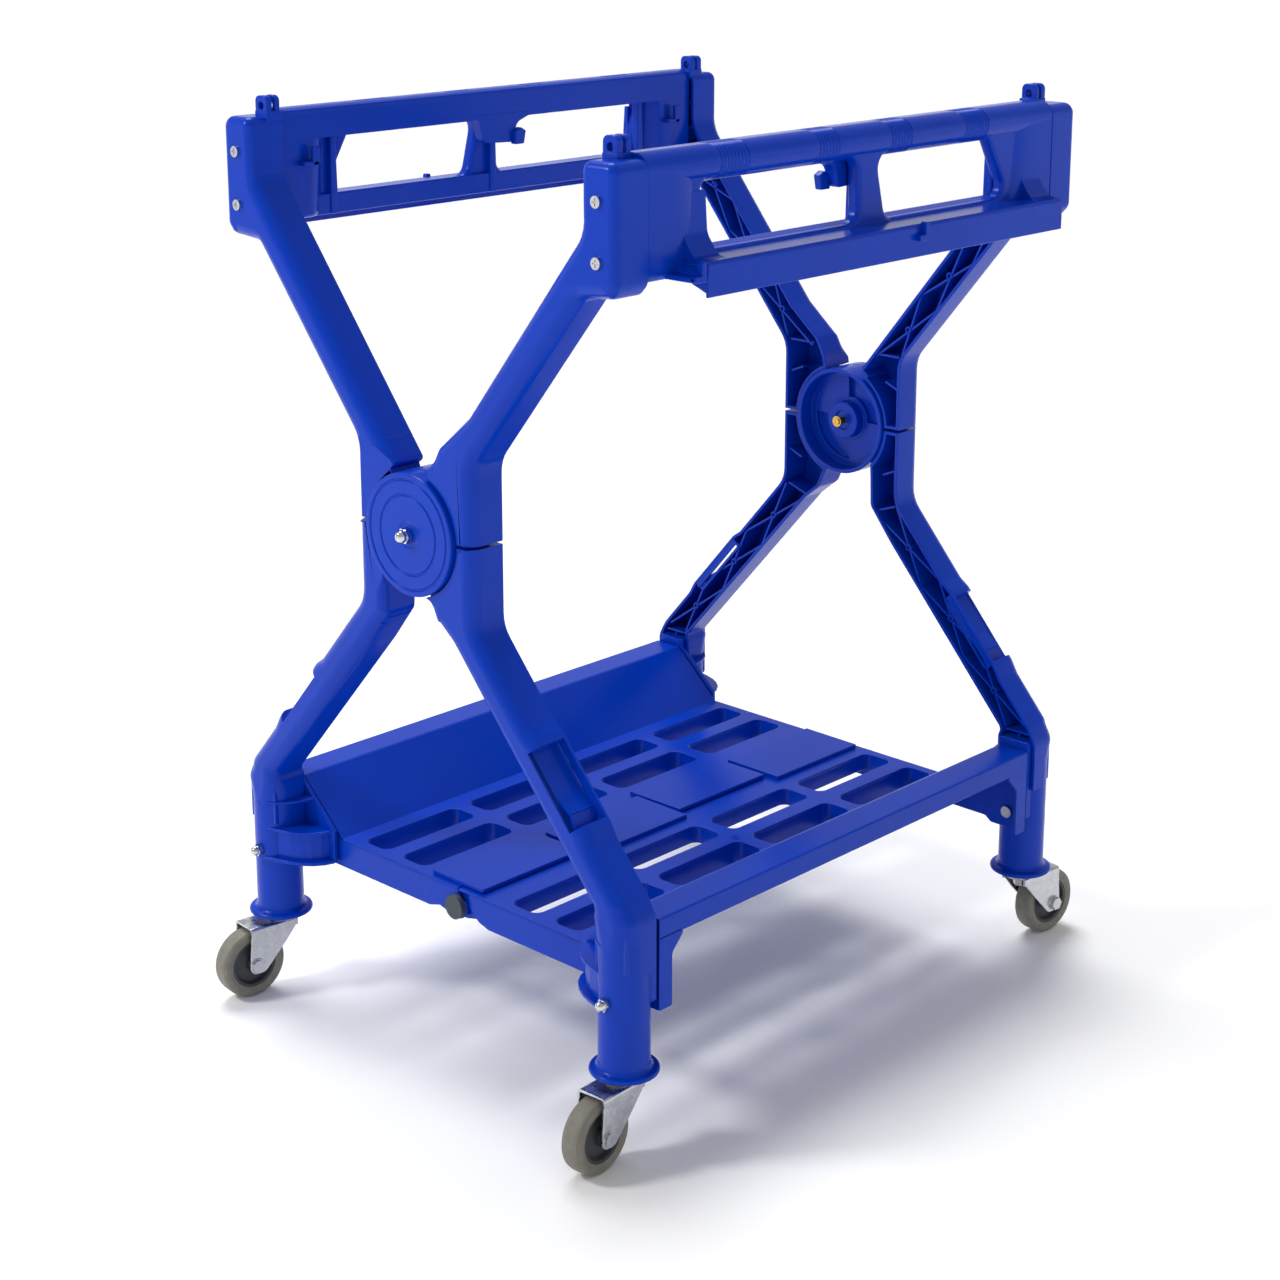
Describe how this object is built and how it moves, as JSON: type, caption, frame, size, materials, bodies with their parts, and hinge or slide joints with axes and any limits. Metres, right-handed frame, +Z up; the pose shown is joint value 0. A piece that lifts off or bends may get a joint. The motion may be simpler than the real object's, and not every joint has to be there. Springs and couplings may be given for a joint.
{
  "type": "folding platform cart",
  "caption": "Folding cart on swivel casters: crossed plastic legs, side rails with grip openings and a slatted shelf that hinges in the middle.",
  "frame": {"origin": "centre of the footprint at the floor, wheels resting on it", "axes": "+Z up; +X across the crossed legs, from the left rail to the right rail; +Y along the rails, from the near frame to the far frame"},
  "size_m": [0.612, 0.7994, 0.962],
  "materials": {
    "blue_plastic": "injection-moulded polypropylene, satin gloss",
    "zinc_steel": "pressed steel, bright zinc plated",
    "chrome": "polished dome nuts",
    "yellow_zinc": "yellow zinc plated bolt ends",
    "grey_cap": "matt moulded cap",
    "tyre_rubber": "grey non-marking rubber",
    "wheel_plastic": "dark grey moulded wheel centre"
  },
  "bodies": {
    "frame_a": {"arm_left_near": "blue_plastic", "arm_left_far": "blue_plastic", "tab_left_near": "blue_plastic", "tab_left_far": "blue_plastic", "rail_left": "blue_plastic", "head_screws_left": "zinc_steel", "hub_bolts": "yellow_zinc", "hub_nuts": "chrome", "foot_bolts_right": "zinc_steel", "foot_nuts_right": "chrome", "races_right": "zinc_steel"},
    "frame_b": {"arm_right_near": "blue_plastic", "arm_right_far": "blue_plastic", "tab_right_near": "blue_plastic", "tab_right_far": "blue_plastic", "rail_right": "blue_plastic", "head_screws_right": "zinc_steel", "foot_bolts_left": "zinc_steel", "foot_nuts_left": "chrome", "races_left": "zinc_steel"},
    "shelf_r": {"shelf_right": "blue_plastic", "rim_right": "blue_plastic", "hinge_rod": "zinc_steel", "hinge_caps": "grey_cap"},
    "shelf_l": {"shelf_left": "blue_plastic", "rim_left": "blue_plastic"},
    "swivel_a": {"fork_a": "zinc_steel", "axle_a": "zinc_steel"},
    "roller_a": {"tyre_a": "tyre_rubber", "wheel_a": "wheel_plastic"},
    "swivel_b": {"fork_b": "zinc_steel", "axle_b": "zinc_steel"},
    "roller_b": {"tyre_b": "tyre_rubber", "wheel_b": "wheel_plastic"},
    "swivel_c": {"fork_c": "zinc_steel", "axle_c": "zinc_steel"},
    "roller_c": {"tyre_c": "tyre_rubber", "wheel_c": "wheel_plastic"},
    "swivel_d": {"fork_d": "zinc_steel", "axle_d": "zinc_steel"},
    "roller_d": {"tyre_d": "tyre_rubber", "wheel_d": "wheel_plastic"}
  },
  "joints": [
    {"name": "fold", "type": "hinge", "parent": "frame_a", "child": "frame_b", "pos_m": [0, 0, 0.564], "axis": [0, -1, 0], "range_deg": [0, 44]},
    {"name": "shelf_right_fold", "type": "hinge", "parent": "frame_a", "child": "shelf_r", "pos_m": [0.258, 0, 0.163], "axis": [0, 1, 0], "range_deg": [0, 47.84]},
    {"name": "shelf_left_fold", "type": "hinge", "parent": "shelf_r", "child": "shelf_l", "pos_m": [0, 0, 0.163], "axis": [0, -1, 0], "range_deg": [0, 139.66]},
    {"name": "swivel_a", "type": "hinge", "parent": "frame_b", "child": "swivel_a", "pos_m": [-0.258, -0.321, 0.08], "axis": [0, 0, 1], "continuous": true},
    {"name": "roll_a", "type": "hinge", "parent": "swivel_a", "child": "roller_a", "pos_m": [-0.263, -0.36169, 0.0375], "axis": [0.9925, -0.1219, 0], "continuous": true},
    {"name": "swivel_b", "type": "hinge", "parent": "frame_a", "child": "swivel_b", "pos_m": [0.258, -0.321, 0.08], "axis": [0, 0, 1], "continuous": true},
    {"name": "roll_b", "type": "hinge", "parent": "swivel_b", "child": "roller_b", "pos_m": [0.26015, -0.36194, 0.0375], "axis": [0.9986, 0.0523, 0], "continuous": true},
    {"name": "swivel_c", "type": "hinge", "parent": "frame_a", "child": "swivel_c", "pos_m": [0.258, 0.321, 0.08], "axis": [0, 0, 1], "continuous": true},
    {"name": "roll_c", "type": "hinge", "parent": "swivel_c", "child": "roller_c", "pos_m": [0.263, 0.36169, 0.0375], "axis": [-0.9925, 0.1219, 0], "continuous": true},
    {"name": "swivel_d", "type": "hinge", "parent": "frame_b", "child": "swivel_d", "pos_m": [-0.258, 0.321, 0.08], "axis": [0, 0, 1], "continuous": true},
    {"name": "roll_d", "type": "hinge", "parent": "swivel_d", "child": "roller_d", "pos_m": [-0.26015, 0.36194, 0.0375], "axis": [-0.9986, -0.0523, 0], "continuous": true}
  ],
  "couplings": [
    {"joint": "shelf_right_fold", "follows": "fold", "ratio": 1.0869},
    {"joint": "shelf_left_fold", "follows": "fold", "ratio": 3.1737}
  ]
}
